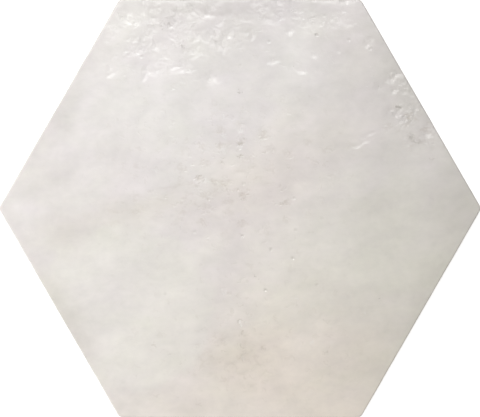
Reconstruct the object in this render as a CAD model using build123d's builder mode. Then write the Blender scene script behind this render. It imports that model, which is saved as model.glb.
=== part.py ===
from build123d import *

import os
from math import ceil, cos, floor, radians, sin, sqrt, tan, tau

# Hexagonal porcelain tile, dry-pressed, glazed and fired as one piece.
# It lies on its back: the origin is the centre of the bedding plane, +Z points out of the glazed face
# and two opposite corners lie on X. All lengths are in millimetres, all angles in degrees.

# Plan of the tile
flat_to_flat = 216.5  # across two opposite sides, which makes 250 across the sharp corners
corner_round = 3.0  # plan radius of the six corners

# Section through the edge
thickness = 9.5  # bedding plane to the highest crest of the glazed face
edge_round = 0.8  # roll of the glazed face over the upper arris
draft_height = 4.5  # lower wall that leans in towards the back, below the upright land
side_draft = 4.0  # lean of the lower wall from upright
back_bevel = 0.8  # chamfer round the back arris

# Hand-pressed swell of the glazed face: three crossing waves share its height
swell_height = 0.7  # from the deepest trough to the highest crest
long_wave = 118.0  # crest to crest, running nearly along X
cross_wave = 83.0  # crest to crest, running steeply upwards
short_wave = 61.0  # crest to crest, running downwards
long_heading = 14.0
cross_heading = 72.0
short_heading = -38.0
points_per_wave = 7  # spline points along one crest-to-crest length of the shortest wave

# Keyed back: honeycomb of shallow pockets that the adhesive fills, between ribs that meet the bed
pocket_width = 13.5  # across the flats of a pocket at the bedding plane
rib_width = 3.5  # web between two neighbouring pockets
pocket_depth = 0.9
pocket_draft = 25.0  # lean of the pocket walls, which lets the punch come away
rim_width = 9.0  # narrowest plain band between the pockets and the back bevel

# Sizes that follow from the ones above
half_flat = flat_to_flat / 2
half_corner = half_flat / cos(radians(30))
back_half_flat = half_flat - draft_height * tan(radians(side_draft)) - back_bevel
cell_pitch = pocket_width + rib_width
row_pitch = cell_pitch * sqrt(3) / 2
pocket_corner = pocket_width / sqrt(3)
ring_count = floor((back_half_flat - rim_width - pocket_corner) / row_pitch)


def swell(x, y):
    """Height of the glazed face above the bedding plane over a point of the plan."""
    waves = ((long_wave, long_heading), (cross_wave, cross_heading), (short_wave, short_heading))
    share = 0
    for length, heading in waves:
        along = x * cos(radians(heading)) + y * sin(radians(heading))
        share += cos(tau * along / length) / len(waves)
    return thickness - swell_height * (1 - share) / 2


def grid_line(reach):
    """Evenly spaced places from -reach to +reach, close enough together to follow the shortest wave."""
    step = min(long_wave, cross_wave, short_wave) / points_per_wave
    count = ceil(2 * reach / step)
    return [reach * (2 * i / count - 1) for i in range(count + 1)]


def cell_centres(rings):
    """Centres of a honeycomb of that many rings round a middle cell, with rows along X."""
    centres = []
    for row in range(-rings, rings + 1):
        cells = 2 * rings + 1 - abs(row)
        for cell in range(cells):
            centres.append(((cell - (cells - 1) / 2) * cell_pitch, row * row_pitch))
    return centres


# The swelling face is one spline sheet, wider than the tile on every side
overhang = 2 * corner_round
face_sheet = Face.make_surface_from_array_of_points(
    [[(x, y, swell(x, y)) for y in grid_line(half_flat + overhang)] for x in grid_line(half_corner + overhang)]
)

with BuildPart() as tile:
    # Upright land and, below it, the wall that leans in
    with BuildSketch(Plane.XY.offset(draft_height)) as plan:
        RegularPolygon(half_flat, 6, major_radius=False)
        fillet(plan.vertices(), corner_round)
    extrude(amount=thickness + swell_height - draft_height)
    extrude(plan.sketch, amount=-draft_height, taper=side_draft)

    # Glazed face, rolled over at the upper arris
    split(bisect_by=face_sheet, keep=Keep.BOTTOM)
    fillet(tile.faces().sort_by(Axis.Z)[-1].edges(), edge_round)

    # Back arris
    chamfer(tile.faces().sort_by(Axis.Z)[0].edges(), back_bevel)

    # Adhesive pockets
    with BuildSketch() as keys:
        with Locations(*cell_centres(ring_count)):
            RegularPolygon(pocket_width / 2, 6, major_radius=False, rotation=30)
    extrude(amount=pocket_depth, taper=pocket_draft, mode=Mode.SUBTRACT)

tile.part.label = "porcelain_tile"

os.makedirs("parts", exist_ok=True)
export_step(tile.part, "parts/porcelain_tile.step")
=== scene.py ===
"""Dresses the hexagonal porcelain tile: its dimpled gloss glaze, its bare fired edge and its keyed back."""

import logging
from dataclasses import dataclass
from enum import Enum
from itertools import pairwise
from math import atan2, cos, hypot, pi, radians, sin, sqrt, tan, tau
from typing import Any, Callable

import bmesh
import bpy
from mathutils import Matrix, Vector


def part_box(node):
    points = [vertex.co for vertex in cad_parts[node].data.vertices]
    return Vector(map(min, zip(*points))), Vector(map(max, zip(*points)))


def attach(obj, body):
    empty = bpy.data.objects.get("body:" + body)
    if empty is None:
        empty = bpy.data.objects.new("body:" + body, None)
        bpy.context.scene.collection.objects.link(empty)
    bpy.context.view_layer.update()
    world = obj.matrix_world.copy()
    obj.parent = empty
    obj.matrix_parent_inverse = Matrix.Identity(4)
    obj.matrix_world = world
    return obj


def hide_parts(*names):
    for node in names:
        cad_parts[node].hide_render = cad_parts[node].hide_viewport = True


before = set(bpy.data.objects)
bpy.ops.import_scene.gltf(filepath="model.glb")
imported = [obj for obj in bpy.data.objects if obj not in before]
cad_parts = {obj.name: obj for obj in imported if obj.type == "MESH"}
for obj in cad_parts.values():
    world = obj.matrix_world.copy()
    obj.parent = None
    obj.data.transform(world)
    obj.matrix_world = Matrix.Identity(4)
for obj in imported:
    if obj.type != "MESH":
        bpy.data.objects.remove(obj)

log = logging.getLogger("porcelain_tile")

MM = 0.001  # Blender's metres in one millimetre
TILE_NODE = "porcelain_tile"

SIDES = 6
HALF_SECTOR = radians(180 / SIDES)  # half the angle that one side of the hexagon takes up

SMOOTH_STEEPNESS = 1.5  # steepest rise of a smooth step, against that of a straight ramp
NOISE_MIDDLE = 0.5
NOISE_SPAN = {"From Min": 0.25, "From Max": 0.75}  # levels between which a noise nearly always stays
NOISE_RISE = 0.8  # how far a noise climbs over its own size, where it crosses its middle
MIX_A, MIX_B, MIX_RESULT = 6, 7, 2  # numbers of a mix node's colour sockets

Place = tuple[float, float]
Colour = tuple[float, float, float, float]
Tree = bpy.types.NodeTree
Socket = bpy.types.NodeSocket


class Kind(Enum):
    """Blender's names of the node types that press the relief, dress the tile and light it."""

    MATH = "ShaderNodeMath"
    VECTOR = "ShaderNodeVectorMath"
    TURN = "ShaderNodeVectorRotate"
    SPLIT = "ShaderNodeSeparateXYZ"
    JOIN = "ShaderNodeCombineXYZ"
    RANGE = "ShaderNodeMapRange"
    NOISE = "ShaderNodeTexNoise"
    CELLS = "ShaderNodeTexVoronoi"
    MIX = "ShaderNodeMix"
    BUMP = "ShaderNodeBump"
    ATTRIBUTE = "ShaderNodeAttribute"
    COORDINATES = "ShaderNodeTexCoord"
    GEOMETRY = "ShaderNodeNewGeometry"
    LIGHT_PATH = "ShaderNodeLightPath"
    PRINCIPLED = "ShaderNodeBsdfPrincipled"
    TRANSPARENT = "ShaderNodeBsdfTransparent"
    SHADER_MIX = "ShaderNodeMixShader"
    BACKGROUND = "ShaderNodeBackground"
    SURFACE = "ShaderNodeOutputMaterial"
    SURROUND = "ShaderNodeOutputWorld"
    GROUP_START = "NodeGroupInput"
    GROUP_END = "NodeGroupOutput"
    POSITION = "GeometryNodeInputPosition"
    MOVE = "GeometryNodeSetPosition"
    STORE = "GeometryNodeStoreNamedAttribute"


class Ramp(Enum):
    """How a value climbs between two levels."""

    STRAIGHT = "LINEAR"
    SMOOTH = "SMOOTHSTEP"


class FaceMark(Enum):
    """What each point of the mesh remembers of the pressing, for the finish to follow."""

    RELIEF = "glaze_relief"  # height of the pressed relief, from 0 at its deepest to 1
    ROUGH = "glaze_rough"  # how far the point lies in a zone that is thick with pits, from 0 to 1
    SIDE = "glaze_side"  # 0 all over the face, rising over the rolled edge to 1 on the side


def linear(colour: str) -> Colour:
    """Turns an sRGB hex colour into linear light.

    Args:
        colour: Six hex digits after a hash sign.

    Returns:
        Red, green, blue and a full alpha.
    """
    shares = [int(colour[i : i + 2], 16) / 255 for i in (1, 3, 5)]
    red, green, blue = (s / 12.92 if s <= 0.04045 else ((s + 0.055) / 1.055) ** 2.4 for s in shares)
    return red, green, blue, 1.0


def add_node(
    tree: Tree, kind: Kind, inputs: dict[int | str, Any] | None = None, **settings: Any
) -> bpy.types.NodeOutputs:
    """Adds a node with its settings, and fills its inputs.

    Args:
        tree: Node tree that gets the node.
        kind: What the node is.
        inputs: A value, or an output to link from, for each input by its name or number.
        **settings: Values of the node's own properties.

    Returns:
        The node's outputs, by their name or number.
    """
    node = tree.nodes.new(kind.value)
    for name, value in settings.items():
        setattr(node, name, value)
    for name, value in (inputs or {}).items():
        if isinstance(value, Socket):
            tree.links.new(value, node.inputs[name])
        else:
            node.inputs[name].default_value = value
    return node.outputs


def total(tree: Tree, parts: list[Socket]) -> Socket:
    """Adds several values up.

    Args:
        tree: Geometry or shader tree that gets the nodes.
        parts: Outputs to add.

    Returns:
        Their sum.
    """
    whole = parts[0]
    for part in parts[1:]:
        whole = add_node(tree, Kind.MATH, {0: whole, 1: part}, operation="ADD")[0]
    return whole


def coated(tree: Tree, colour: Socket | Colour, coats: list[tuple[Socket, str]]) -> Socket:
    """Lays tones over a colour, one after another.

    Args:
        tree: Shader tree that gets the nodes.
        colour: Colour to start from.
        coats: How much of each tone shows, and the tone as hex.

    Returns:
        The colour with all its coats.
    """
    for amount, tone in coats:
        layers = {0: amount, MIX_A: colour, MIX_B: linear(tone)}
        colour = add_node(tree, Kind.MIX, layers, data_type="RGBA")[MIX_RESULT]
    return colour


def empty_tree(owner: bpy.types.Material | bpy.types.World) -> Tree:
    """Gives a material or a world nodes of its own.

    Args:
        owner: What the nodes are for.

    Returns:
        Its node tree, with nothing in it.
    """
    owner.use_nodes = True
    owner.node_tree.nodes.clear()
    return owner.node_tree


def select_vertices(piece: bpy.types.Object, test: Callable[[bmesh.types.BMVert], bool]) -> None:
    """Selects the vertices of the piece in edit mode that pass a test, and no others.

    Args:
        piece: Mesh object in edit mode.
        test: Says whether a vertex is wanted.
    """
    mesh = bmesh.from_edit_mesh(piece.data)
    for vertex in mesh.verts:
        vertex.select_set(test(vertex))
    mesh.select_flush_mode()
    bmesh.update_edit_mesh(piece.data)


@dataclass(frozen=True)
class Spot:
    """A soft oval on the face: its middle and size in millimetres, and its lean in degrees."""

    x: float
    y: float
    length: float
    width: float
    lean: float = 0.0
    softness: float = 1.0  # share of the way from the rim to the middle over which the oval fades

    def mask(self, tree: Tree, flat: Socket) -> Socket:
        """Builds the nodes that draw the oval.

        Args:
            tree: Geometry or shader tree that gets the nodes.
            flat: Place on the face, in metres.

        Returns:
            1 in the middle of the oval, falling smoothly to 0 at its rim.
        """
        middle = (self.x * MM, self.y * MM, 0)
        away = add_node(tree, Kind.VECTOR, {0: flat, 1: middle}, operation="SUBTRACT")[0]
        lean = {"Vector": away, "Angle": radians(-self.lean)}
        turned = add_node(tree, Kind.TURN, lean, rotation_type="Z_AXIS")[0]
        shares = (2 / (self.length * MM), 2 / (self.width * MM), 0)
        scaled = add_node(tree, Kind.VECTOR, {0: turned, 1: shares}, operation="MULTIPLY")[0]
        reach = add_node(tree, Kind.VECTOR, {0: scaled}, operation="LENGTH")["Value"]
        fade = {"Value": reach, "From Min": 1.0, "From Max": 1.0 - self.softness}
        return add_node(tree, Kind.RANGE, fade, interpolation_type=Ramp.SMOOTH.value)[0]


@dataclass(frozen=True)
class Warp:
    """Noise that shifts places about, so that ovals and cells drawn on them come out ragged. Millimetres."""

    size: float
    shift: float  # most that a place moves
    detail: float  # how many finer noises are laid over the first

    def place(self, tree: Tree, flat: Socket) -> Socket:
        """Builds the nodes of the shift.

        Args:
            tree: Geometry or shader tree that gets the nodes.
            flat: Place on the face, in metres.

        Returns:
            The shifted place.
        """
        waves = {"Vector": flat, "Scale": 1 / (self.size * MM), "Detail": self.detail}
        noise = add_node(tree, Kind.NOISE, waves)["Color"]
        centred = add_node(tree, Kind.VECTOR, {0: noise, 1: (NOISE_MIDDLE,) * 3}, operation="SUBTRACT")[0]
        reach = 2 * self.shift * MM
        shifted = {0: centred, 1: (reach, reach, 0), 2: flat}
        return add_node(tree, Kind.VECTOR, shifted, operation="MULTIPLY_ADD")[0]


@dataclass(frozen=True)
class Patches:
    """Patches where a noise is high: its size in millimetres, and the levels where one begins and is full."""

    size: float
    begin: float
    full: float
    most: float = 1.0  # what a full patch counts
    detail: float = 2.0
    ramp: Ramp = Ramp.STRAIGHT

    def amount(self, tree: Tree, place: Socket) -> Socket:
        """Builds the nodes of the patches.

        Args:
            tree: Geometry or shader tree that gets the nodes.
            place: Place on the tile, in metres.

        Returns:
            0 between the patches, climbing to the most inside them.
        """
        waves = {"Vector": place, "Scale": 1 / (self.size * MM), "Detail": self.detail}
        noise = add_node(tree, Kind.NOISE, waves)[0]
        rise = {"Value": noise, "From Min": self.begin, "From Max": self.full, "To Max": self.most}
        return add_node(tree, Kind.RANGE, rise, interpolation_type=self.ramp.value)[0]


@dataclass(frozen=True)
class Streaks:
    """A noise drawn out along a leaning line: its length and width in millimetres, its lean in degrees."""

    length: float
    width: float
    detail: float
    lean: float = 12.0  # how far it rises towards the right
    roughness: float = 0.62
    twist: float = 0.25

    def level(self, tree: Tree, place: Socket) -> Socket:
        """Builds the nodes of the noise.

        Args:
            tree: Geometry or shader tree that gets the nodes.
            place: Place on the tile, in metres.

        Returns:
            Its level, from 0 to 1.
        """
        lean = {"Vector": place, "Angle": radians(-self.lean)}
        turned = add_node(tree, Kind.TURN, lean, rotation_type="Z_AXIS")[0]
        pace = (1 / (self.length * MM), 1 / (self.width * MM), 1 / (self.width * MM))
        waves = {
            "Vector": add_node(tree, Kind.VECTOR, {0: turned, 1: pace}, operation="MULTIPLY")[0],
            "Scale": 1.0,
            "Detail": self.detail,
            "Roughness": self.roughness,
            "Distortion": self.twist,
        }
        return add_node(tree, Kind.NOISE, waves)[0]


@dataclass(frozen=True)
class Wave:
    """One wave of the swelling face, in millimetres and degrees."""

    length: float
    heading: float


@dataclass(frozen=True)
class DentScatter:
    """Dents strewn over the face: one in each cell of a web of places, where chance keeps it. Millimetres."""

    spacing: float
    radius: float
    depth: float
    share: float  # of the places that have one
    stretch: float = 1.0  # how many times longer along X than across

    def height(self, tree: Tree, flat: Socket) -> Socket:
        """Builds the nodes of the scatter.

        Args:
            tree: Geometry or shader tree that gets the nodes.
            flat: Place on the face, in metres.

        Returns:
            Height in metres, 0 between the dents.
        """
        squeeze = (1 / self.stretch, 1, 1)
        squeezed = add_node(tree, Kind.VECTOR, {0: flat, 1: squeeze}, operation="MULTIPLY")[0]
        web = {"Vector": squeezed, "Scale": 1 / (self.spacing * MM)}
        cells = add_node(tree, Kind.CELLS, web, voronoi_dimensions="2D")
        draw = add_node(tree, Kind.SPLIT, {0: cells["Color"]})[0]
        chance = {"Value": draw, "From Min": self.share, "From Max": 0.0, "To Max": -self.depth * MM}
        depth = add_node(tree, Kind.RANGE, chance)[0]
        wall = {"Value": cells["Distance"], "From Min": self.radius / self.spacing, "From Max": 0.0}
        bowl = add_node(tree, Kind.RANGE, wall, interpolation_type=Ramp.SMOOTH.value)[0]
        return add_node(tree, Kind.MATH, {0: bowl, 1: depth}, operation="MULTIPLY")[0]


@dataclass(frozen=True)
class Creases:
    """Short crooked creases on the level lines of a noise, where a second noise keeps them. Millimetres."""

    size: float  # of the noise that they follow
    width: float
    depth: float
    stretch: float  # size of the noise that breaks them up
    share: float  # level of that noise from which they begin to show
    fade: float = 0.1  # rise of that level over which they reach their depth
    twist: float = 0.8  # how far they are drawn into curls

    def height(self, tree: Tree, flat: Socket) -> Socket:
        """Builds the nodes of the creases.

        Args:
            tree: Shader tree that gets the nodes.
            flat: Place on the face, in metres.

        Returns:
            Height in metres, 0 between the creases.
        """
        waves = {"Vector": flat, "Scale": 1 / (self.size * MM), "Distortion": self.twist}
        noise = add_node(tree, Kind.NOISE, waves)[0]
        centred = add_node(tree, Kind.MATH, {0: noise, 1: NOISE_MIDDLE}, operation="SUBTRACT")[0]
        away = add_node(tree, Kind.MATH, {0: centred}, operation="ABSOLUTE")[0]
        wall = {"Value": away, "From Min": NOISE_RISE * self.width / 2 / self.size, "From Max": 0.0}
        line = add_node(tree, Kind.RANGE, wall, interpolation_type=Ramp.SMOOTH.value)[0]
        full = self.share + self.fade
        breaks = Patches(self.stretch, self.share, full, most=-self.depth * MM, ramp=Ramp.SMOOTH)
        return add_node(tree, Kind.MATH, {0: line, 1: breaks.amount(tree, flat)}, operation="MULTIPLY")[0]


@dataclass(frozen=True)
class Dent:
    """One dent of the face: where its bowl lies, and how steep its wall is across, in degrees."""

    spot: Spot
    slope: float

    def depth(self) -> float:
        """Depth in millimetres of a smooth bowl with that wall."""
        return tan(radians(self.slope)) * self.spot.width / 2 / SMOOTH_STEEPNESS

    def height(self, tree: Tree, flat: Socket) -> Socket:
        """Height of the dent in metres over a place on the face, 0 outside its bowl."""
        bowl = self.spot.mask(tree, flat)
        return add_node(tree, Kind.MATH, {0: bowl, 1: -self.depth() * MM}, operation="MULTIPLY")[0]


@dataclass(frozen=True)
class PressedRelief:
    """Height of the glazed face: the long swell of the pressed body, and the dimples of the hand-worked die.

    Sizes are in millimetres and angles in degrees.
    """

    swell_height: float = 0.7
    waves: tuple[Wave, ...] = (Wave(118.0, 14.0), Wave(83.0, 72.0), Wave(61.0, -38.0))
    dimples: Streaks = Streaks(length=21.0, width=13.0, detail=1.5, roughness=0.4, twist=0.3)
    dimple_depth: float = 0.15
    scatters: tuple[DentScatter, ...] = (
        DentScatter(spacing=9.0, radius=4.0, depth=0.2, share=0.5),
        DentScatter(spacing=5.0, radius=2.2, depth=0.14, share=0.45),
    )
    dents: tuple[Dent, ...] = (
        Dent(Spot(-33.0, 110.0, 46.0, 9.0), 8.0),
        Dent(Spot(44.0, 110.0, 22.0, 8.0), 7.0),
        Dent(Spot(-58.0, 99.0, 18.0, 9.0, -25.0), 5.5),
        Dent(Spot(-45.0, 98.0, 9.0, 7.0), 5.5),
        Dent(Spot(-36.0, 95.5, 9.0, 6.0, 30.0), 6.0),
        Dent(Spot(-18.0, 100.0, 11.0, 5.0), 5.0),
        Dent(Spot(-21.0, 90.0, 8.0, 7.0, 20.0), 6.0),
        Dent(Spot(-24.0, 83.0, 7.0, 8.0, -30.0), 6.0),
        Dent(Spot(-6.0, 90.0, 8.0, 7.0, 40.0), 7.0),
        Dent(Spot(-9.5, 84.5, 8.0, 7.0, -40.0), 7.0),
        Dent(Spot(6.0, 91.0, 5.0, 9.0), 5.5),
        Dent(Spot(14.5, 97.0, 9.0, 5.0), 5.0),
        Dent(Spot(16.5, 76.5, 12.0, 7.0, 10.0), 5.5),
        Dent(Spot(-69.0, 87.0, 6.0, 5.0), 6.0),
        Dent(Spot(-67.0, 71.0, 9.0, 9.0, 45.0), 6.5),
        Dent(Spot(-48.0, 71.5, 6.0, 12.0, -20.0), 7.0),
        Dent(Spot(-43.0, 84.0, 8.0, 10.0, 35.0), 6.5),
        Dent(Spot(-53.0, 82.0, 7.0, 8.0, 20.0), 5.0),
        Dent(Spot(-30.0, 73.5, 20.0, 9.0, -4.0), 6.5),
        Dent(Spot(-14.5, 67.5, 14.0, 9.0, 8.0), 7.0),
        Dent(Spot(80.0, 69.0, 15.0, 6.5, 30.0), 10.5),
        Dent(Spot(79.0, 61.0, 7.0, 6.0), 10.0),
        Dent(Spot(89.0, 53.0, 7.0, 5.0, 20.0), 11.0),
        Dent(Spot(80.5, 48.0, 6.0, 4.5, -15.0), 11.0),
        Dent(Spot(96.5, 38.5, 6.0, 6.5, 15.0), 13.5),
        Dent(Spot(62.0, 33.5, 19.0, 3.0, 24.0), 14.5),
        Dent(Spot(66.5, 38.0, 17.0, 3.0, 24.0), 13.5),
        Dent(Spot(32.0, 71.0, 9.0, 6.0, -10.0), 7.5),
        Dent(Spot(38.5, 79.0, 6.0, 5.0, -30.0), 7.5),
        Dent(Spot(25.5, 92.0, 7.0, 5.0), 7.0),
        Dent(Spot(66.5, 86.0, 8.0, 6.0, 10.0), 7.0),
        Dent(Spot(53.5, 109.0, 8.0, 8.0), 10.0),
        Dent(Spot(19.5, 109.0, 8.0, 7.0, 10.0), 10.0),
    )
    warp: Warp = Warp(size=4.0, shift=2.8, detail=2.0)
    rough_zones: tuple[Spot, ...] = (
        Spot(-38.0, 90.0, 130.0, 70.0),
        Spot(88.0, 52.0, 90.0, 50.0, -60.0),
        Spot(30.0, 125.0, 120.0, 100.0),
    )
    rough_dent_depth: float = 0.5  # from which a dent is as rough as the zones
    # Rough spots that the zones break up into
    patches: Patches = Patches(size=9.0, begin=0.38, full=0.6, most=1.2, ramp=Ramp.SMOOTH)
    wrinkle_size: float = 4.8
    wrinkle_depth: float = 0.41
    wrinkle_detail: float = 1.5
    wrinkle_twist: float = 1.6  # how far the wrinkles are drawn into curls
    calm: float = 0.45  # share of the scattered dents' depth outside the rough zones
    edge_wander: float = 0.3  # how far the sides stray inwards from straight
    edge_wave: float = 14.0  # length of that straying

    def depth(self) -> float:
        """Deepest that dimples and strewn dents reach together."""
        return self.dimple_depth + sum(scatter.depth for scatter in self.scatters)

    def tree(self, foot: float, shoulder: float, crest: float) -> Tree:
        """Builds the geometry nodes that press the relief into a flat tile.

        Args:
            foot: Level below which nothing moves.
            shoulder: Level from which the whole relief applies, where the rolled edge meets the side.
            crest: Level of the flat face.

        Returns:
            A node tree for a Geometry Nodes modifier.
        """
        tree = bpy.data.node_groups.new("pressed_relief", "GeometryNodeTree")
        tree.is_modifier = True
        for way in ("INPUT", "OUTPUT"):
            tree.interface.new_socket("Geometry", in_out=way, socket_type="NodeSocketGeometry")
        marked = add_node(tree, Kind.GROUP_START)[0]
        place = add_node(tree, Kind.POSITION)[0]
        flat = add_node(tree, Kind.VECTOR, {0: place, 1: (1, 1, 0)}, operation="MULTIPLY")[0]
        level = add_node(tree, Kind.SPLIT, {0: place})["Z"]
        wall = {"Value": level, "From Min": foot * MM, "From Max": shoulder * MM}
        share = add_node(tree, Kind.RANGE, wall, interpolation_type=Ramp.SMOOTH.value)[0]
        ragged = self.warp.place(tree, flat)
        dents = total(tree, [dent.height(tree, ragged) for dent in self.dents])
        rough = self._rough(tree, flat, ragged, dents)
        relief = self._relief(tree, flat, ragged, rough)
        height = total(tree, [self._swell(tree, flat), relief, dents, self._wrinkles(tree, flat, rough)])
        drop = add_node(tree, Kind.MATH, {0: height, 1: share}, operation="MULTIPLY")[0]
        down = add_node(tree, Kind.JOIN, {"Z": drop})[0]
        offset = add_node(tree, Kind.VECTOR, {0: down, 1: self._wander(tree, flat)}, operation="ADD")[0]
        rise = {"Value": relief, "From Min": -self.depth() * MM, "From Max": 0.0}
        grade = add_node(tree, Kind.RANGE, rise)[0]
        roll = {"Value": level, "From Min": crest * MM, "From Max": shoulder * MM}
        side = add_node(tree, Kind.RANGE, roll)[0]
        for mark, value in ((FaceMark.RELIEF, grade), (FaceMark.ROUGH, rough), (FaceMark.SIDE, side)):
            note = {"Geometry": marked, "Name": mark.value, "Value": value}
            marked = add_node(tree, Kind.STORE, note, data_type="FLOAT", domain="POINT")[0]
        pressed = add_node(tree, Kind.MOVE, {"Geometry": marked, "Offset": offset})[0]
        add_node(tree, Kind.GROUP_END, {0: pressed})
        return tree

    def _swell(self, tree: Tree, flat: Socket) -> Socket:
        """Builds the nodes of the long swell, as the CAD face has it.

        Args:
            tree: Geometry tree that gets the nodes.
            flat: Place on the face, in metres.

        Returns:
            Height in metres, 0 at the highest crest.
        """
        crests = []
        for wave in self.waves:
            turn = radians(wave.heading)
            pace = tau / (wave.length * MM)
            heading = (pace * cos(turn), pace * sin(turn), 0)
            phase = add_node(tree, Kind.VECTOR, {0: flat, 1: heading}, operation="DOT_PRODUCT")["Value"]
            crests.append(add_node(tree, Kind.MATH, {0: phase}, operation="COSINE")[0])
        count = len(self.waves)
        span = {"Value": total(tree, crests), "From Min": -count, "From Max": count}
        return add_node(tree, Kind.RANGE, {**span, "To Min": -self.swell_height * MM, "To Max": 0.0})[0]

    def _relief(self, tree: Tree, flat: Socket, ragged: Socket, rough: Socket) -> Socket:
        """Builds the nodes of dimples and strewn dents.

        Args:
            tree: Geometry tree that gets the nodes.
            flat: Place on the face, in metres.
            ragged: The same place, shifted about by noise.
            rough: How far the place lies in a zone that is thick with dents.

        Returns:
            Height in metres, 0 at the highest.
        """
        noise = self.dimples.level(tree, flat)
        sunk = {"Value": noise, **NOISE_SPAN, "To Min": -self.dimple_depth * MM, "To Max": 0.0}
        dimples = add_node(tree, Kind.RANGE, sunk)[0]
        scattered = total(tree, [scatter.height(tree, ragged) for scatter in self.scatters])
        gain = add_node(tree, Kind.RANGE, {"Value": rough, "To Min": self.calm, "To Max": 1.0})[0]
        strewn = add_node(tree, Kind.MATH, {0: scattered, 1: gain}, operation="MULTIPLY")[0]
        return total(tree, [dimples, strewn])

    def _rough(self, tree: Tree, flat: Socket, ragged: Socket, dents: Socket) -> Socket:
        """Builds the nodes that say where the face is rough.

        Args:
            tree: Geometry tree that gets the nodes.
            flat: Place on the face, in metres.
            ragged: The same place, shifted about by noise.
            dents: Height of the single dents, in metres.

        Returns:
            1 in rough patches and deep dents, and 0 where the face is calm.
        """
        zones = total(tree, [zone.mask(tree, ragged) for zone in self.rough_zones])
        patches = self.patches.amount(tree, flat)
        patchy = add_node(tree, Kind.MATH, {0: zones, 1: patches}, operation="MULTIPLY")[0]
        deep = {0: dents, 1: -1 / (self.rough_dent_depth * MM), 2: patchy}
        return add_node(tree, Kind.MATH, deep, operation="MULTIPLY_ADD", use_clamp=True)[0]

    def _wrinkles(self, tree: Tree, flat: Socket, rough: Socket) -> Socket:
        """Builds the nodes of the curled wrinkles in the rough patches.

        Args:
            tree: Geometry tree that gets the nodes.
            flat: Place on the face, in metres.
            rough: How far the place lies in a rough patch.

        Returns:
            Height in metres, 0 at the crests and where the face is calm.
        """
        waves = {
            "Vector": flat,
            "Scale": 1 / (self.wrinkle_size * MM),
            "Detail": self.wrinkle_detail,
            "Distortion": self.wrinkle_twist,
        }
        noise = add_node(tree, Kind.NOISE, waves)[0]
        sunk = {"Value": noise, **NOISE_SPAN, "To Min": -self.wrinkle_depth * MM, "To Max": 0.0}
        wrinkles = add_node(tree, Kind.RANGE, sunk)[0]
        return add_node(tree, Kind.MATH, {0: wrinkles, 1: rough}, operation="MULTIPLY")[0]

    def _wander(self, tree: Tree, flat: Socket) -> Socket:
        """Builds the nodes of the straying that keeps the sides from being ruler-straight.

        Args:
            tree: Geometry tree that gets the nodes.
            flat: Place on the face, in metres.

        Returns:
            Small shift of the plan towards the middle.
        """
        noise = add_node(tree, Kind.NOISE, {"Vector": flat, "Scale": 1 / (self.edge_wave * MM)})[0]
        stray = add_node(tree, Kind.MATH, {0: noise, 1: -self.edge_wander * MM}, operation="MULTIPLY")[0]
        outward = add_node(tree, Kind.VECTOR, {0: flat}, operation="NORMALIZE")[0]
        return add_node(tree, Kind.VECTOR, {0: outward, "Scale": stray}, operation="SCALE")[0]


@dataclass(frozen=True)
class TintAndShading:
    """A patch of other colour on the glaze: some where it ran thin or pooled, some painted light or shade.
    Gives where it lies, its colour and how much of that shows.
    """

    spot: Spot
    colour: str
    strength: float

    def amount(self, tree: Tree, place: Socket) -> Socket:
        """How much of the colour shows at a place on the tile."""
        mask = self.spot.mask(tree, place)
        return add_node(tree, Kind.MATH, {0: mask, 1: self.strength}, operation="MULTIPLY")[0]


@dataclass(frozen=True)
class BlemishAndPaintedLight:
    """Small hollows that firing leaves in the glaze: how they are strewn, and the tone at their bottom, which
    is a painted highlight in the white flecks and painted shade in the crowded pits.
    """

    scatter: DentScatter | Creases
    colour: str
    strength: float  # share of that tone at the bottom of the deepest one
    zones: tuple[Spot, ...] = ()  # where they are, all over the face if there are none
    ragged: bool = True  # whether their outline is torn instead of round

    def height(self, tree: Tree, place: Socket) -> Socket:
        """Builds the nodes of the hollows.

        Args:
            tree: Shader tree that gets the nodes.
            place: Place on the tile, in metres.

        Returns:
            Height in metres, 0 between the hollows.
        """
        height = self.scatter.height(tree, place)
        if not self.zones:
            return height
        inside = total(tree, [zone.mask(tree, place) for zone in self.zones])
        return add_node(tree, Kind.MATH, {0: height, 1: inside}, operation="MULTIPLY")[0]

    def amount(self, tree: Tree, hollow: Socket) -> Socket:
        """How much of the tone shows in a hollow of some height."""
        pace = -self.strength / (self.scatter.depth * MM)
        return add_node(tree, Kind.MATH, {0: hollow, 1: pace}, operation="MULTIPLY")[0]


@dataclass(frozen=True, kw_only=True)
class Cloud(Streaks):
    """One scale of the glaze's clouding."""

    share: float  # of the light and shade

    def drift(self, tree: Tree, place: Socket) -> Socket:
        """Departure of the cloud from even at a place on the tile, about 0."""
        centred = {0: self.level(tree, place), 1: self.share, 2: -self.share * NOISE_MIDDLE}
        return add_node(tree, Kind.MATH, centred, operation="MULTIPLY_ADD")[0]
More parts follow.
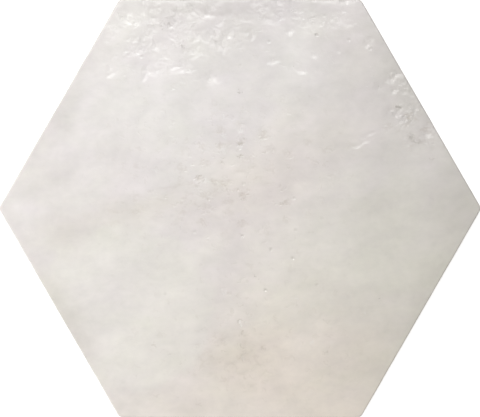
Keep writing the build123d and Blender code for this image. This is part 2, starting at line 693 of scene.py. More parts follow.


# White porcelain glaze, an opaque glass that is poured on as a slip and melts in the kiln. It flows before
# it sets, so the eye sees a gloss that glints on the wall of every dent, soft clouds and runs of warmer and
# greyer white where it lies thick or thin, a darker tone in the hollows where it pooled, and pinholes and
# creases where gas broke out. Its colour also carries painted light and shade: lighter at the upper left,
# darker over the right side, along the top edge and along the slanting sides, partly in the grey of the
# rolled edge, in the white flecks as painted highlights, and in the crowded pits as painted shade.
@dataclass(frozen=True)
class GlazeFinish:
    """Cloudy white gloss glaze, poured over the body and fired: colours as hex, sizes in millimetres."""

    base: str = "#e7e2e1"
    swing: float = 0.22  # how much lighter the lightest cloud is than the darkest
    warm_cast: str = "#fffdfe"
    cool_cast: str = "#fefffa"
    cast: Cloud = Cloud(length=26.0, width=17.0, share=1.7, detail=2.0)
    cast_reach: float = 0.5  # drift of that cloud at which a cast is whole
    clouds: tuple[Cloud, ...] = (
        Cloud(length=62.0, width=40.0, share=0.8, detail=2.0),
        Cloud(length=18.0, width=13.0, share=1.1, detail=3.0, lean=8.0),
        Cloud(length=5.6, width=4.0, share=0.5, detail=3.0, lean=4.0),
    )
    pooling: float = 0.5  # how far the hollows of the relief are darker
    pooling_level: float = 0.75  # height of the relief at which the tone stays as it is
    tints_and_shading: tuple[TintAndShading, ...] = (
        # Painted light: lighter at the upper left, where the light falls most
        TintAndShading(Spot(-45.0, 62.0, 170.0, 100.0, 12.0), "#efedea", 0.5),
        TintAndShading(Spot(45.0, -128.0, 350.0, 310.0, 6.0), "#ebdfd1", 0.85),
        # Greener glaze, and partly painted shade: darker towards the lower right
        TintAndShading(Spot(75.0, -30.0, 190.0, 100.0, 14.0), "#dddccf", 0.5),
        TintAndShading(Spot(12.0, 12.0, 150.0, 80.0, 20.0), "#e8ded7", 0.45),
        TintAndShading(Spot(-56.0, -2.0, 150.0, 28.0, 14.0), "#d8d1c9", 0.45),
        TintAndShading(Spot(-55.0, -50.0, 150.0, 130.0, -20.0, 0.4), "#e9e6e0", 0.2),
        TintAndShading(Spot(-60.0, -52.0, 96.0, 92.0, -10.0, 0.15), "#ebe8e1", 0.5),
        TintAndShading(Spot(-28.0, 14.0, 54.0, 40.0), "#ece9e6", 0.4),
        TintAndShading(Spot(-62.0, 14.0, 52.0, 96.0), "#d5cfcb", 0.18),
        TintAndShading(Spot(43.0, 42.0, 80.0, 50.0), "#dbd7c0", 0.14),
        TintAndShading(Spot(4.0, -78.0, 62.0, 40.0, 10.0, 0.9), "#d9cfc2", 0.35),
        # Painted shade: the right side darker, away from the light
        TintAndShading(Spot(132.0, -20.0, 165.0, 250.0, -15.0, 0.7), "#d3cfc6", 0.5),
        TintAndShading(Spot(-13.0, 102.0, 75.0, 8.0), "#d8d3d1", 0.5),
        # Painted shade on the upper right
        TintAndShading(Spot(74.0, 42.0, 80.0, 110.0, 0.0, 0.9), "#d3cec6", 0.3),
        # Paler patches among the glints: partly whiter glaze, partly painted highlight
        TintAndShading(Spot(28.0, 84.0, 60.0, 64.0), "#f3f1ee", 0.4),
        TintAndShading(Spot(-58.0, 97.0, 44.0, 34.0), "#f3f1ee", 0.35),
        TintAndShading(Spot(-90.0, -14.0, 50.0, 44.0), "#d4cec6", 0.35),
        # Painted shade along the top edge, holding back the light that falls there from beyond it
        TintAndShading(Spot(0.0, 108.0, 200.0, 44.0), "#d0cbca", 0.5),
        # Painted shade: darker over the right half, most at the right corner
        TintAndShading(Spot(68.0, 0.0, 84.0, 52.0, 10.0), "#cfcbc2", 0.45),
        TintAndShading(Spot(60.0, 84.0, 70.0, 70.0), "#cdc6bd", 0.18),
        TintAndShading(Spot(62.0, -70.0, 54.0, 52.0), "#cbc4b9", 0.3),
        TintAndShading(Spot(118.0, 0.0, 66.0, 76.0), "#b3aea6", 0.27),
        TintAndShading(Spot(-98.0, 14.0, 56.0, 44.0), "#d3ceca", 0.35),
        TintAndShading(Spot(-2.0, -74.0, 84.0, 30.0, 18.0), "#cdbfae", 0.12),
        # Painted shade at the lower right
        TintAndShading(Spot(54.0, -94.0, 96.0, 60.0), "#bfc0bd", 0.16),
        # Painted shade along the four slanting sides, darker on the right two
        TintAndShading(Spot(-97.0, 56.0, 170.0, 40.0, 60.0), "#d5d0cd", 0.55),
        TintAndShading(Spot(-97.0, -56.0, 170.0, 40.0, -60.0), "#d4cec6", 0.55),
        TintAndShading(Spot(97.0, 56.0, 170.0, 44.0, -60.0), "#c8c5be", 0.5),
        TintAndShading(Spot(97.0, -56.0, 170.0, 44.0, 60.0), "#c6c3b8", 0.5),
        TintAndShading(Spot(-10.0, -105.0, 170.0, 30.0), "#ece4dd", 0.6),
    )
    patch_warp: Warp = Warp(size=18.0, shift=10.0, detail=4.0)
    smudge: str = "#c3b9ae"
    smudges: Cloud = Cloud(length=8.0, width=4.5, share=1.0, detail=5.0, lean=8.0)
    smudge_reach: float = 0.3  # drift of that cloud at which a smudge is as dark as it gets
    smudge_share: float = 0.6
    smudge_zones: tuple[Spot, ...] = (
        Spot(-15.0, 8.0, 110.0, 50.0, 12.0),
        Spot(0.0, -75.0, 80.0, 50.0, 10.0),
        Spot(92.0, 45.0, 70.0, 60.0, -60.0),
    )
    thin_glaze_and_shade: str = "#c9c7c4"  # grey over the rolled edge: where the body shows through the thin glaze, and partly painted shade of the edge
    thin_and_shade_breaks: Patches = Patches(size=3.0, begin=0.4, full=0.6, most=0.2)
    line: float = 5.3  # level at which the glaze ends on the side
    line_wander: float = 1.2
    line_wave: float = 7.0  # length of that wandering
    line_detail: float = 3.0
    line_softness: float = 0.1
    roughness: float = 0.16
    worn_roughness: float = 0.2  # in the rough patches
    ripple: float = 2.4  # length of the fine ripple that firing leaves
    ripple_depth: float = 0.05
    rough_ripple: float = 1.7  # length of the ripple in the rough patches
    rough_ripple_depth: float = 0.25
    pits: DentScatter = DentScatter(spacing=3.4, radius=1.3, depth=0.2, share=0.35)
    blemish_warp: Warp = Warp(size=2.2, shift=4.5, detail=4.0)
    blemishes_and_painted_light: tuple[BlemishAndPaintedLight, ...] = (
        # Pinholes all over the face, and larger ones in three zones
        BlemishAndPaintedLight(DentScatter(spacing=9.0, radius=0.8, depth=0.06, share=0.02), "#a89f94", 1.0),
        BlemishAndPaintedLight(
            DentScatter(spacing=11.0, radius=1.3, depth=0.32, share=0.45, stretch=1.2),
            "#8f867c",
            0.36,
            (Spot(44.0, 84.0, 110.0, 80.0), Spot(-30.0, 82.0, 110.0, 40.0), Spot(0.0, -20.0, 200.0, 160.0)),
            ragged=False,
        ),
        # Torn scars across the middle
        BlemishAndPaintedLight(
            DentScatter(spacing=6.5, radius=2.6, depth=0.22, share=0.6, stretch=1.7),
            "#a3927b",
            0.34,
            (Spot(-4.0, 14.0, 190.0, 100.0, 10.0),),
        ),
        # Creases nearly everywhere
        BlemishAndPaintedLight(
            Creases(size=6.0, width=1.3, depth=0.09, stretch=4.0, share=0.56),
            "#a59884",
            0.1,
            (Spot(-6.0, 14.0, 270.0, 220.0), Spot(0.0, -75.0, 220.0, 110.0)),
            ragged=False,
        ),
        # Paler scars low down and at the right
        BlemishAndPaintedLight(
            DentScatter(spacing=6.0, radius=2.2, depth=0.14, share=0.6, stretch=1.6),
            "#ad9c84",
            0.24,
            (Spot(-6.0, -78.0, 90.0, 50.0, 14.0), Spot(88.0, 44.0, 60.0, 40.0, -60.0)),
        ),
        # Two grey stains by the right edge
        BlemishAndPaintedLight(
            DentScatter(spacing=3.4, radius=3.2, depth=0.05, share=1.0),
            "#a09a90",
            0.7,
            (Spot(90.5, 36.0, 12.0, 9.0, -10.0), Spot(81.5, 52.0, 6.0, 5.0)),
        ),
        # White flecks, whose pale tone is a painted highlight
        BlemishAndPaintedLight(
            DentScatter(spacing=6.0, radius=1.3, depth=0.2, share=0.3, stretch=1.5),
            "#f4f2ee",
            0.5,
            (Spot(-30.0, 28.0, 150.0, 90.0, 10.0), Spot(20.0, -60.0, 170.0, 90.0)),
        ),
        # Short dark dashes
        BlemishAndPaintedLight(
            DentScatter(spacing=5.0, radius=0.9, depth=0.12, share=0.4, stretch=2.2),
            "#a99c8a",
            0.5,
            (Spot(0.0, 15.0, 150.0, 90.0, 8.0), Spot(-6.0, -74.0, 190.0, 90.0)),
        ),
        # Crowded pits that sparkle at the upper left, darkened with painted shade beside their glints
        BlemishAndPaintedLight(
            DentScatter(spacing=1.8, radius=0.9, depth=0.24, share=0.8),
            "#aaa298",
            0.3,
            (
                Spot(-39.0, 95.0, 17.0, 12.0),
                Spot(-8.0, 87.0, 20.0, 13.0, 45.0),
                Spot(-30.0, 84.0, 16.0, 9.0, -30.0),
            ),
        ),
    )


# Porcelain stoneware, pressed dry from sprayed powder and fired without a coat. The close powder grain gives
# the eye a matt warm white with no glint, a few iron specks, and paler smears of kiln wash on the ribs that
# stood in it. Grain and specks are drawn about five times coarser than the real ones, which are too fine to
# show.
@dataclass(frozen=True)
class BodyFinish:
    """Bare matt porcelain, dry-pressed from powder and fired: colours as hex, sizes in millimetres."""

    light: str = "#ddd5c8"
    shade: str = "#c9bfb0"
    grain: float = 0.9
    grain_detail: float = 3.0
    grain_depth: float = 0.02
    speck: str = "#8d7d6c"  # iron specks in the powder
    specks: Patches = Patches(size=1.1, begin=0.68, full=0.76, most=0.6)
    wash: str = "#edebe6"  # kiln wash that the ribs pick up
    wash_share: float = 0.75
    wash_level: float = 0.3  # how far up the ribs the wash reaches
    smears: Patches = Patches(size=11.0, begin=0.35, full=0.6, detail=5.0)
    roughness: float = 0.82


@dataclass(frozen=True)
class GlazedPorcelain:
    """The tile's one material: glaze down to a ragged line on the side, and the bare body below it."""

    glaze: GlazeFinish = GlazeFinish()
    body: BodyFinish = BodyFinish()
    ior: float = 1.5

    def build(self) -> bpy.types.Material:
        """Makes the material.

        Returns:
            The finished node material.
        """
        material = bpy.data.materials.new("glazed_porcelain")
        tree = empty_tree(material)
        place = add_node(tree, Kind.COORDINATES)["Object"]
        glazed = self._glaze_mask(tree, place)
        side = add_node(tree, Kind.ATTRIBUTE, attribute_name=FaceMark.SIDE.value)["Fac"]
        rough = add_node(tree, Kind.ATTRIBUTE, attribute_name=FaceMark.ROUGH.value)["Fac"]
        ragged = self.glaze.blemish_warp.place(tree, place)
        hollows = [mark.height(tree, ragged if mark.ragged else place) for mark in self.glaze.blemishes_and_painted_light]
        colours = {
            0: glazed,
            MIX_A: self._body_colour(tree, place),
            MIX_B: self._glaze_colour(tree, place, side, hollows),
        }
        colour = add_node(tree, Kind.MIX, colours, data_type="RGBA")[MIX_RESULT]
        wear = {"Value": rough, "To Min": self.glaze.roughness, "To Max": self.glaze.worn_roughness}
        gloss = add_node(tree, Kind.RANGE, wear)[0]
        coat = {"Value": glazed, "To Min": self.body.roughness, "To Max": gloss}
        surface = {
            "Base Color": colour,
            "Roughness": add_node(tree, Kind.RANGE, coat)[0],
            "IOR": self.ior,
            "Normal": self._bump(tree, place, ragged, rough, glazed, side, hollows),
        }
        shader = add_node(tree, Kind.PRINCIPLED, surface)[0]
        add_node(tree, Kind.SURFACE, {"Surface": shader})
        return material

    def _glaze_mask(self, tree: Tree, place: Socket) -> Socket:
        """Builds the nodes that say where the glaze ends.

        Args:
            tree: Shader tree that gets the nodes.
            place: Place on the tile, in metres.

        Returns:
            1 where the glaze covers the body, and 0 below its ragged edge.
        """
        glaze = self.glaze
        level = add_node(tree, Kind.SPLIT, {0: place})["Z"]
        waves = {"Vector": place, "Scale": 1 / (glaze.line_wave * MM), "Detail": glaze.line_detail}
        noise = add_node(tree, Kind.NOISE, waves)[0]
        wander = {0: noise, 1: glaze.line_wander * MM, 2: level}
        raised = add_node(tree, Kind.MATH, wander, operation="MULTIPLY_ADD")[0]
        line = glaze.line + glaze.line_wander * NOISE_MIDDLE
        low, high = (line - glaze.line_softness) * MM, (line + glaze.line_softness) * MM
        edge = {"Value": raised, "From Min": low, "From Max": high}
        return add_node(tree, Kind.RANGE, edge, interpolation_type=Ramp.SMOOTH.value)[0]

    def _glaze_colour(self, tree: Tree, place: Socket, side: Socket, hollows: list[Socket]) -> Socket:
        """Builds the clouded white of the glaze, with tinted patches that include painted light and shade,
        smudges, blemishes, and a grey thin edge that is partly painted shade.

        Args:
            tree: Shader tree that gets the nodes.
            place: Place on the tile, in metres.
            side: 0 on the face, rising to 1 on the side.
            hollows: Height of each kind of blemish, in metres.

        Returns:
            The colour.
        """
        glaze = self.glaze
        ragged = glaze.patch_warp.place(tree, place)
        tints_and_shading = [(patch.amount(tree, ragged), patch.colour) for patch in glaze.tints_and_shading]
        colour = self._clouded(tree, place, coated(tree, linear(glaze.base), tints_and_shading))
        smudged = self._smudged(tree, place, ragged)
        marks = [(mark.amount(tree, hollow), mark.colour) for mark, hollow in zip(glaze.blemishes_and_painted_light, hollows)]
        # Grey over the rolled edge, in breaks: thin glaze and partly painted shade
        broken = glaze.thin_and_shade_breaks.amount(tree, place)
        thinned_and_shaded = add_node(tree, Kind.MATH, {0: broken, 1: side}, operation="MULTIPLY")[0]
        return coated(tree, colour, [(smudged, glaze.smudge), *marks, (thinned_and_shaded, glaze.thin_glaze_and_shade)])

    def _clouded(self, tree: Tree, place: Socket, colour: Socket) -> Socket:
        """Lays the light and shade of the clouds and the pooling, and the warm and cool casts, over a colour.

        Args:
            tree: Shader tree that gets the nodes.
            place: Place on the tile, in metres.
            colour: Colour before the clouds.

        Returns:
            The clouded colour.
        """
        glaze = self.glaze
        level = add_node(tree, Kind.ATTRIBUTE, attribute_name=FaceMark.RELIEF.value)["Fac"]
        pool = {0: level, 1: glaze.pooling, 2: -glaze.pooling_level * glaze.pooling}
        pooled = add_node(tree, Kind.MATH, pool, operation="MULTIPLY_ADD")[0]
        drift = total(tree, [pooled, *(cloud.drift(tree, place) for cloud in glaze.clouds)])
        gain = add_node(tree, Kind.MATH, {0: drift, 1: glaze.swing, 2: 1.0}, operation="MULTIPLY_ADD")[0]
        shaded = add_node(tree, Kind.VECTOR, {0: colour, "Scale": gain}, operation="SCALE")[0]
        span = {"From Min": -glaze.cast_reach, "From Max": glaze.cast_reach}
        cast = add_node(tree, Kind.RANGE, {"Value": glaze.cast.drift(tree, place), **span})[0]
        casts = {0: cast, MIX_A: linear(glaze.warm_cast), MIX_B: linear(glaze.cool_cast)}
        hue = add_node(tree, Kind.MIX, casts, data_type="RGBA")[MIX_RESULT]
        layers = {0: 1.0, MIX_A: shaded, MIX_B: hue}
        return add_node(tree, Kind.MIX, layers, data_type="RGBA", blend_type="MULTIPLY")[MIX_RESULT]

    def _smudged(self, tree: Tree, place: Socket, ragged: Socket) -> Socket:
        """Builds the nodes that say how far a place is smudged.

        Args:
            tree: Shader tree that gets the nodes.
            place: Place on the tile, in metres.
            ragged: The same place, shifted about by noise.

        Returns:
            Share of the smudge's tone.
        """
        glaze = self.glaze
        zone = total(tree, [spot.mask(tree, ragged) for spot in glaze.smudge_zones])
        drift = glaze.smudges.drift(tree, place)
        rise = {"Value": drift, "From Max": glaze.smudge_reach, "To Max": glaze.smudge_share}
        smudged = add_node(tree, Kind.RANGE, rise, interpolation_type=Ramp.SMOOTH.value)[0]
        return add_node(tree, Kind.MATH, {0: smudged, 1: zone}, operation="MULTIPLY")[0]

    def _body_colour(self, tree: Tree, place: Socket) -> Socket:
        """Builds the grainy warm white of the bare body, whitened on the ribs that touched the kiln.

        Args:
            tree: Shader tree that gets the nodes.
            place: Place on the tile, in metres.

        Returns:
            The colour.
        """
        body = self.body
        waves = {"Vector": place, "Scale": 1 / (body.grain * MM), "Detail": body.grain_detail}
        grain = add_node(tree, Kind.NOISE, waves)[0]
        level = add_node(tree, Kind.SPLIT, {0: place})["Z"]
        foot = {"Value": level, "From Min": body.wash_level * MM, "From Max": 0.0, "To Max": body.wash_share}
        low = add_node(tree, Kind.RANGE, foot)[0]
        smears = body.smears.amount(tree, place)
        washed = add_node(tree, Kind.MATH, {0: low, 1: smears}, operation="MULTIPLY")[0]
        specks = body.specks.amount(tree, place)
        coats = [(grain, body.light), (specks, body.speck), (washed, body.wash)]
        return coated(tree, linear(body.shade), coats)

    def _bump(
        self,
        tree: Tree,
        place: Socket,
        ragged: Socket,
        rough: Socket,
        glazed: Socket,
        side: Socket,
        hollows: list[Socket],
    ) -> Socket:
        """Builds what is too fine for the mesh: the glaze's ripple, pits and blemishes, and the body's grain.

        Args:
            tree: Shader tree that gets the nodes.
            place: Place on the tile, in metres.
            ragged: The same place, shifted about by noise.
            rough: How far the place lies in a patch that is thick with pits.
            glazed: 1 where the glaze covers the body.
            side: 0 on the face, rising to 1 on the side, where pits and blemishes end.
            hollows: Height of each kind of blemish, in metres.

        Returns:
            The normal.
        """
        glaze, body = self.glaze, self.body
        noises = []
        for size, depth in (
            (body.grain, body.grain_depth),
            (glaze.ripple, glaze.ripple_depth),
            (glaze.rough_ripple, glaze.rough_ripple_depth),
        ):
            noise = add_node(tree, Kind.NOISE, {"Vector": place, "Scale": 1 / (size * MM)})[0]
            noises.append(add_node(tree, Kind.MATH, {0: noise, 1: depth * MM}, operation="MULTIPLY")[0])
        grain, ripple, rough_ripple = noises
        crowded = total(tree, [rough_ripple, glaze.pits.height(tree, ragged)])
        crowd = add_node(tree, Kind.MATH, {0: crowded, 1: rough}, operation="MULTIPLY")[0]
        dented = total(tree, [crowd, *hollows])
        face = add_node(tree, Kind.MATH, {0: 1.0, 1: side}, operation="SUBTRACT")[0]
        smooth = add_node(tree, Kind.MATH, {0: dented, 1: face, 2: ripple}, operation="MULTIPLY_ADD")[0]
        height = add_node(tree, Kind.MIX, {"Factor": glazed, "A": grain, "B": smooth}, data_type="FLOAT")[0]
        return add_node(tree, Kind.BUMP, {"Height": height, "Distance": 1.0})[0]


@dataclass
class PorcelainTile:
    """The tile as one pressed piece. Sizes are in millimetres, angles in degrees."""

    half_flat: float
    thickness: float
    corner_round: float = 3.0
    edge_round: float = 0.8
    draft_height: float = 4.5
    side_draft: float = 4.0
    back_bevel: float = 0.8
    pocket_width: float = 13.5
    rib_width: float = 3.5
    pocket_depth: float = 0.9
    pocket_draft: float = 25.0
    pocket_rings: int = 6
    pocket_round: float = 0.3
    pocket_round_steps: int = 2
    coarse_cuts: int = 12  # steps that a side is first divided into
    fine_cuts: int = 13  # steps that each of those is divided into
    roll_steps: int = 5
    weld: float = 0.01  # gap at which neighbouring cells of the back grow together
    sharp_angle: float = 20.0  # from which an edge of a pocket is rounded
    smooth_angle: float = 40.0  # up to which faces shade as one
    relief: PressedRelief = PressedRelief()

    @classmethod
    def from_frame(cls) -> "PorcelainTile":
        """Takes the overall size from the CAD node."""
        _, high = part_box(TILE_NODE)
        return cls(half_flat=high.y / MM, thickness=high.z / MM)

    def build(self, material: bpy.types.Material) -> bpy.types.Object:
        """Models and dresses the tile.

        Args:
            material: Finish of the whole piece.

        Returns:
            The finished piece.
        """
        shell = self._press_shell()
        back = self._press_back()
        self._close(shell, back)
        self._press_relief(shell)
        bpy.ops.object.shade_smooth_by_angle(angle=radians(self.smooth_angle))
        shell.data.materials.clear()
        shell.data.materials.append(material)
        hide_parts(TILE_NODE)
        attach(shell, "root")
        return shell

    def _section(self) -> list[Place]:
        """Works out the edge in section.

        Returns:
            Reach from the middle and level of each ring of the edge, from the face round to the back.
        """
        inner = self.half_flat - self.edge_round
        rings = []
        for step in range(self.roll_steps + 1):
            turn = radians(90 * step / self.roll_steps)
            reach = inner + self.edge_round * sin(turn)
            rings.append((reach, self.thickness - self.edge_round * (1 - cos(turn))))
        lean = tan(radians(self.side_draft))
        foot = self.half_flat - (self.draft_height - self.back_bevel) * lean
        rings.append((self.half_flat, self.draft_height))
        rings.append((foot, self.back_bevel))
        rings.append((self.half_flat - self.draft_height * lean - self.back_bevel, 0.0))
        return rings

    def _press_shell(self) -> bpy.types.Object:
        """Models the face as a fine triangle grid, and the edge as rings drawn down from it.

        Returns:
            The tile without its back.
        """
        rings = self._section()
        reach, level = rings[0]
        radius = reach / cos(HALF_SECTOR)
        bpy.ops.object.select_all(action="DESELECT")
        bpy.ops.mesh.primitive_circle_add(
            vertices=SIDES,
            radius=radius * MM,
            fill_type="TRIFAN",
            location=(0, 0, level * MM),
            rotation=(0, 0, HALF_SECTOR),
        )
        shell = bpy.context.object
        shell.name = "glazed_tile"
        bpy.ops.object.transform_apply(location=True, rotation=True, scale=True)
        bpy.ops.object.mode_set(mode="EDIT")
        bpy.ops.mesh.select_mode(type="VERT")
        bpy.ops.mesh.subdivide(number_cuts=self.coarse_cuts - 1)
        bpy.ops.mesh.subdivide(number_cuts=self.fine_cuts - 1)
        self._round_corners(shell, radius)
        bpy.ops.mesh.select_all(action="DESELECT")
        bpy.ops.mesh.select_non_manifold(extend=False)
        for (reach, level), (next_reach, next_level) in pairwise(rings):
            step = (0, 0, (next_level - level) * MM)
            bpy.ops.mesh.extrude_edges_move(TRANSFORM_OT_translate={"value": step})
            growth = next_reach / reach
            bpy.ops.transform.resize(value=(growth, growth, 1), center_override=(0, 0, 0))
        bpy.ops.object.mode_set(mode="OBJECT")
        return shell

    def _round_corners(self, shell: bpy.types.Object, radius: float) -> None:
        """Pulls the outline in at the six corners, on to their plan radius.

        Args:
            shell: The face in edit mode, with sharp corners.
            radius: From the middle to a sharp corner.
        """
        spacing = radius / (self.coarse_cuts * self.fine_cuts)
        centre = radius - self.corner_round / cos(HALF_SECTOR)
        turns = [2 * HALF_SECTOR * corner for corner in range(SIDES)]
        corners = [Vector((cos(turn), sin(turn))) * radius * MM for turn in turns]
        near = spacing * MM / 4
        steps = int(self.corner_round * tan(HALF_SECTOR) / spacing)
        for step in range(steps + 1):
            along = step * spacing
            across, beside = radius - along * cos(2 * HALF_SECTOR), along * sin(2 * HALF_SECTOR)
            angle = atan2(beside, across)
            reach = centre * cos(angle) + sqrt(self.corner_round**2 - (centre * sin(angle)) ** 2)
            pull = reach / hypot(across, beside)
            select_vertices(
                shell,
                lambda vertex: vertex.is_boundary
                and any(abs((vertex.co.xy - corner).length - along * MM) < near for corner in corners),
            )
            bpy.ops.transform.resize(value=(pull, pull, 1), center_override=(0, 0, 0))

    def _cell_centres(self) -> list[Place]:
        """Works out where the honeycomb cells of the back lie.

        Returns:
            Their centres, row by row.
        """
        pitch = self.pocket_width + self.rib_width
        row_pitch = pitch * sqrt(3) / 2
        centres = []
        for row in range(-self.pocket_rings, self.pocket_rings + 1):
            cells = 2 * self.pocket_rings + 1 - abs(row)
            centres += [((cell - (cells - 1) / 2) * pitch, row * row_pitch) for cell in range(cells)]
        return centres

    def _press_back(self) -> bpy.types.Object:
        """Models one honeycomb cell with its pocket, and copies it over the back.

        Returns:
            The keyed part of the back.
        """
        centres = self._cell_centres()
        radius = (self.pocket_width + self.rib_width) / sqrt(3) * MM
        middle = (centres[0][0] * MM, centres[0][1] * MM, 0)
        bpy.ops.object.select_all(action="DESELECT")
        bpy.ops.mesh.primitive_circle_add(vertices=SIDES, radius=radius, fill_type="NGON", location=middle)
        back = bpy.context.object
        back.name = "keyed_back"
        bpy.ops.object.transform_apply(location=True, rotation=True, scale=True)
        bpy.ops.object.mode_set(mode="EDIT")
        bpy.ops.mesh.select_mode(type="FACE")
        bpy.ops.mesh.inset(thickness=self.rib_width / 2 * MM)
        bpy.ops.mesh.extrude_region_move(TRANSFORM_OT_translate={"value": (0, 0, self.pocket_depth * MM)})
        floor = self.pocket_width - 2 * self.pocket_depth * tan(radians(self.pocket_draft))
        shrink = floor / self.pocket_width
        bpy.ops.transform.resize(value=(shrink, shrink, 1), center_override=middle)
        bpy.ops.mesh.select_mode(type="EDGE")
        bpy.ops.mesh.select_all(action="DESELECT")
        bpy.ops.mesh.edges_select_sharp(sharpness=radians(self.sharp_angle))
        bpy.ops.mesh.bevel(offset=self.pocket_round * MM, segments=self.pocket_round_steps)
        bpy.ops.mesh.select_all(action="SELECT")
        for (x, y), (next_x, next_y) in pairwise(centres):
            step = ((next_x - x) * MM, (next_y - y) * MM, 0)
            bpy.ops.mesh.duplicate_move(TRANSFORM_OT_translate={"value": step})
        bpy.ops.mesh.select_all(action="SELECT")
        bpy.ops.mesh.remove_doubles(threshold=self.weld * MM)
        bpy.ops.object.mode_set(mode="OBJECT")
        return back

    def _close(self, shell: bpy.types.Object, back: bpy.types.Object) -> None:
        """Joins the honeycomb to the shell and fills the plain rim between them.

        Args:
            shell: The tile without its back.
            back: The keyed part of the back, which becomes part of the shell.
        """
        bpy.ops.object.select_all(action="DESELECT")
        back.select_set(True)
        shell.select_set(True)
        bpy.context.view_layer.objects.active = shell
        bpy.ops.object.join()
        bpy.ops.object.mode_set(mode="EDIT")
        bpy.ops.mesh.select_mode(type="EDGE")
        bpy.ops.mesh.select_all(action="DESELECT")
        bpy.ops.mesh.select_non_manifold(extend=False)
        bpy.ops.mesh.fill(use_beauty=True)
        bpy.ops.mesh.select_all(action="SELECT")
        bpy.ops.mesh.normals_make_consistent(inside=False)
        bpy.ops.object.mode_set(mode="OBJECT")

    def _press_relief(self, shell: bpy.types.Object) -> None:
        """Presses swell, dimples and dents into the face and leaves them in the mesh.

        Args:
            shell: The whole tile, with a flat face.
        """
        modifier = shell.modifiers.new("pressed_relief", "NODES")
        shoulder = self.thickness - self.edge_round
        modifier.node_group = self.relief.tree(self.draft_height, shoulder, self.thickness)
        bpy.ops.object.modifier_apply(modifier=modifier.name)


@dataclass(frozen=True)
class AreaLamp:
    """A rectangular soft lamp, in metres and as the light that its surface gives off."""

    name: str
    place: tuple[float, float, float]
    target: tuple[float, float, float]
    width: float
    height: float
    radiance: float

    def build(self) -> bpy.types.Object:
        """Adds the lamp, aimed at its target.

        Returns:
            The lamp, which the camera doesn't see.
        """
        bpy.ops.object.light_add(type="AREA", location=self.place)
        lamp = bpy.context.object
        lamp.name = self.name
        lamp.data.shape = "RECTANGLE"
        lamp.data.size = self.width
        lamp.data.size_y = self.height
        lamp.data.energy = self.radiance * pi * self.width * self.height
        lamp.rotation_euler = (Vector(self.target) - Vector(self.place)).to_track_quat("-Z", "Y").to_euler()
        lamp.visible_camera = False
        return lamp


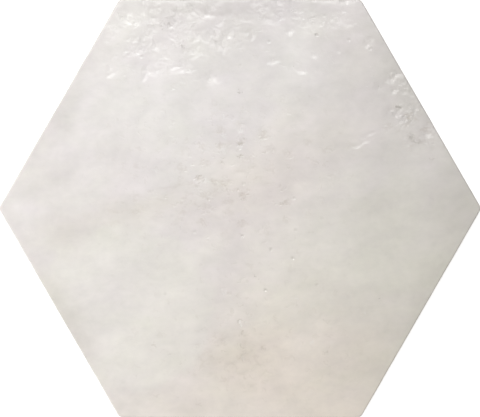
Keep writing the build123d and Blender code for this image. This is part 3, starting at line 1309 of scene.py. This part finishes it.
@dataclass(frozen=True)
class Studio:
    """Camera straight above the tile, a white floor, and soft light from the left and beyond the top edge.

    Sizes are in millimetres, those of the lamps apart.
    """

    lens: float = 200.0
    sensor: float = 36.0
    frame_width: float = 248.3  # millimetres of the tile's land that fill the picture's width
    frame_drop: float = 0.1  # how far the picture's middle lies below the tile's
    land_level: float = 7.5
    floor_reach: float = 4000.0
    floor_drop: float = 0.05  # keeps the floor clear of the back
    floor_opening: float = 122.4  # corner reach of the hole under the tile, which lets light on to the back
    floor_colour: str = "#f2f1ef"
    floor_roughness: float = 0.9
    floor_glow: float = 0.72
    fill: float = 0.2
    lamps: tuple[AreaLamp, ...] = (
        AreaLamp("strip_lamp", (-0.05, 0.43, 0.8), (-0.02, 0.03, 0.0), 0.56, 0.48, 3.5),
        AreaLamp("strip_core", (-0.05, 0.42, 0.79), (-0.02, 0.03, 0.0), 0.11, 0.11, 8.0),
        AreaLamp("side_lamp", (-0.36, -0.04, 0.38), (0.0, -0.03, 0.0), 0.9, 0.3, 2.2),
        AreaLamp("front_lamp", (0.2, -0.6, 0.4), (0.0, -0.05, 0.0), 0.8, 0.25, 1.1),
        AreaLamp("under_lamp", (0.0, 0.0, -0.5), (0.0, 0.0, 0.0), 0.5, 0.5, 1.6),
    )

    def build(self) -> None:
        """Sets up camera, floor, lamps and the light all round."""
        self._camera()
        self._floor()
        self._surround()
        for lamp in self.lamps:
            lamp.build()
        bpy.context.scene.view_settings.view_transform = "Standard"

    def _camera(self) -> None:
        """Looks straight down, with the picture's top towards +Y."""
        distance = self.frame_width * MM * self.lens / self.sensor
        height = distance + self.land_level * MM
        bpy.ops.object.camera_add(location=(0, -self.frame_drop * MM, height), rotation=(0, 0, 0))
        camera = bpy.context.object
        camera.data.lens = self.lens
        camera.data.sensor_width = self.sensor
        bpy.context.scene.camera = camera

    def _floor(self) -> None:
        """Lays a wide floor with an opening under the tile."""
        bpy.ops.object.select_all(action="DESELECT")
        bpy.ops.mesh.primitive_circle_add(
            vertices=SIDES,
            radius=self.floor_opening * MM,
            location=(0, 0, -self.floor_drop * MM),
            rotation=(0, 0, HALF_SECTOR),
        )
        floor = bpy.context.object
        floor.name = "floor"
        bpy.ops.object.transform_apply(location=True, rotation=True, scale=True)
        growth = self.floor_reach / self.floor_opening
        bpy.ops.object.mode_set(mode="EDIT")
        bpy.ops.mesh.extrude_edges_move(TRANSFORM_OT_translate={"value": (0, 0, 0)})
        bpy.ops.transform.resize(value=(growth, growth, 1), center_override=(0, 0, 0))
        bpy.ops.mesh.select_all(action="SELECT")
        if any(face.normal.z < 0 for face in bmesh.from_edit_mesh(floor.data).faces):
            bpy.ops.mesh.flip_normals()
        bpy.ops.object.mode_set(mode="OBJECT")
        floor.data.materials.append(self._floor_paint())

    def _floor_paint(self) -> bpy.types.Material:
        """Makes the floor's paint, which shows as white and is see-through from below.

        Returns:
            The finished node material.
        """
        # Matt white emulsion, rolled on: it has no grain or gloss to see, and takes the tile's shadow.
        paint = bpy.data.materials.new("white_floor")
        tree = empty_tree(paint)
        glow = add_node(tree, Kind.MATH, {0: self._seen(tree), 1: self.floor_glow}, operation="MULTIPLY")[0]
        coat = {
            "Base Color": linear(self.floor_colour),
            "Roughness": self.floor_roughness,
            "Emission Color": (1, 1, 1, 1),
            "Emission Strength": glow,
        }
        above = add_node(tree, Kind.PRINCIPLED, coat)[0]
        below = add_node(tree, Kind.TRANSPARENT)[0]
        under = add_node(tree, Kind.GEOMETRY)["Backfacing"]
        surface = add_node(tree, Kind.SHADER_MIX, {0: under, 1: above, 2: below})[0]
        add_node(tree, Kind.SURFACE, {"Surface": surface})
        return paint

    def _seen(self, tree: Tree) -> Socket:
        """Builds the nodes that tell the rays that show the background.

        Args:
            tree: Shader tree that gets the nodes.

        Returns:
            1 for rays from the camera, or by way of a reflection or glass, and 0 for others.
        """
        path = add_node(tree, Kind.LIGHT_PATH)
        rays = {0: path["Is Camera Ray"], 1: path["Is Glossy Ray"]}
        mirrored = add_node(tree, Kind.MATH, rays, operation="MAXIMUM")[0]
        rays = {0: mirrored, 1: path["Is Transmission Ray"]}
        return add_node(tree, Kind.MATH, rays, operation="MAXIMUM")[0]

    def _surround(self) -> None:
        """Even white light from all round, which shows as plain white behind the floor."""
        world = bpy.data.worlds.new("white_studio")
        tree = empty_tree(world)
        glow = {"Value": self._seen(tree), "To Min": self.fill, "To Max": 1.0}
        strength = add_node(tree, Kind.RANGE, glow)[0]
        light = add_node(tree, Kind.BACKGROUND, {"Color": (1, 1, 1, 1), "Strength": strength})[0]
        add_node(tree, Kind.SURROUND, {"Surface": light})
        bpy.context.scene.world = world


def main() -> None:
    """Builds the tile and its studio, and reports each piece."""
    logging.basicConfig(level=logging.INFO, format="%(name)s: %(message)s")
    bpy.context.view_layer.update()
    tile = PorcelainTile.from_frame().build(GlazedPorcelain().build())
    log.info("%s has %d faces", tile.name, len(tile.data.polygons))
    Studio().build()


if __name__ == "__main__":
    main()
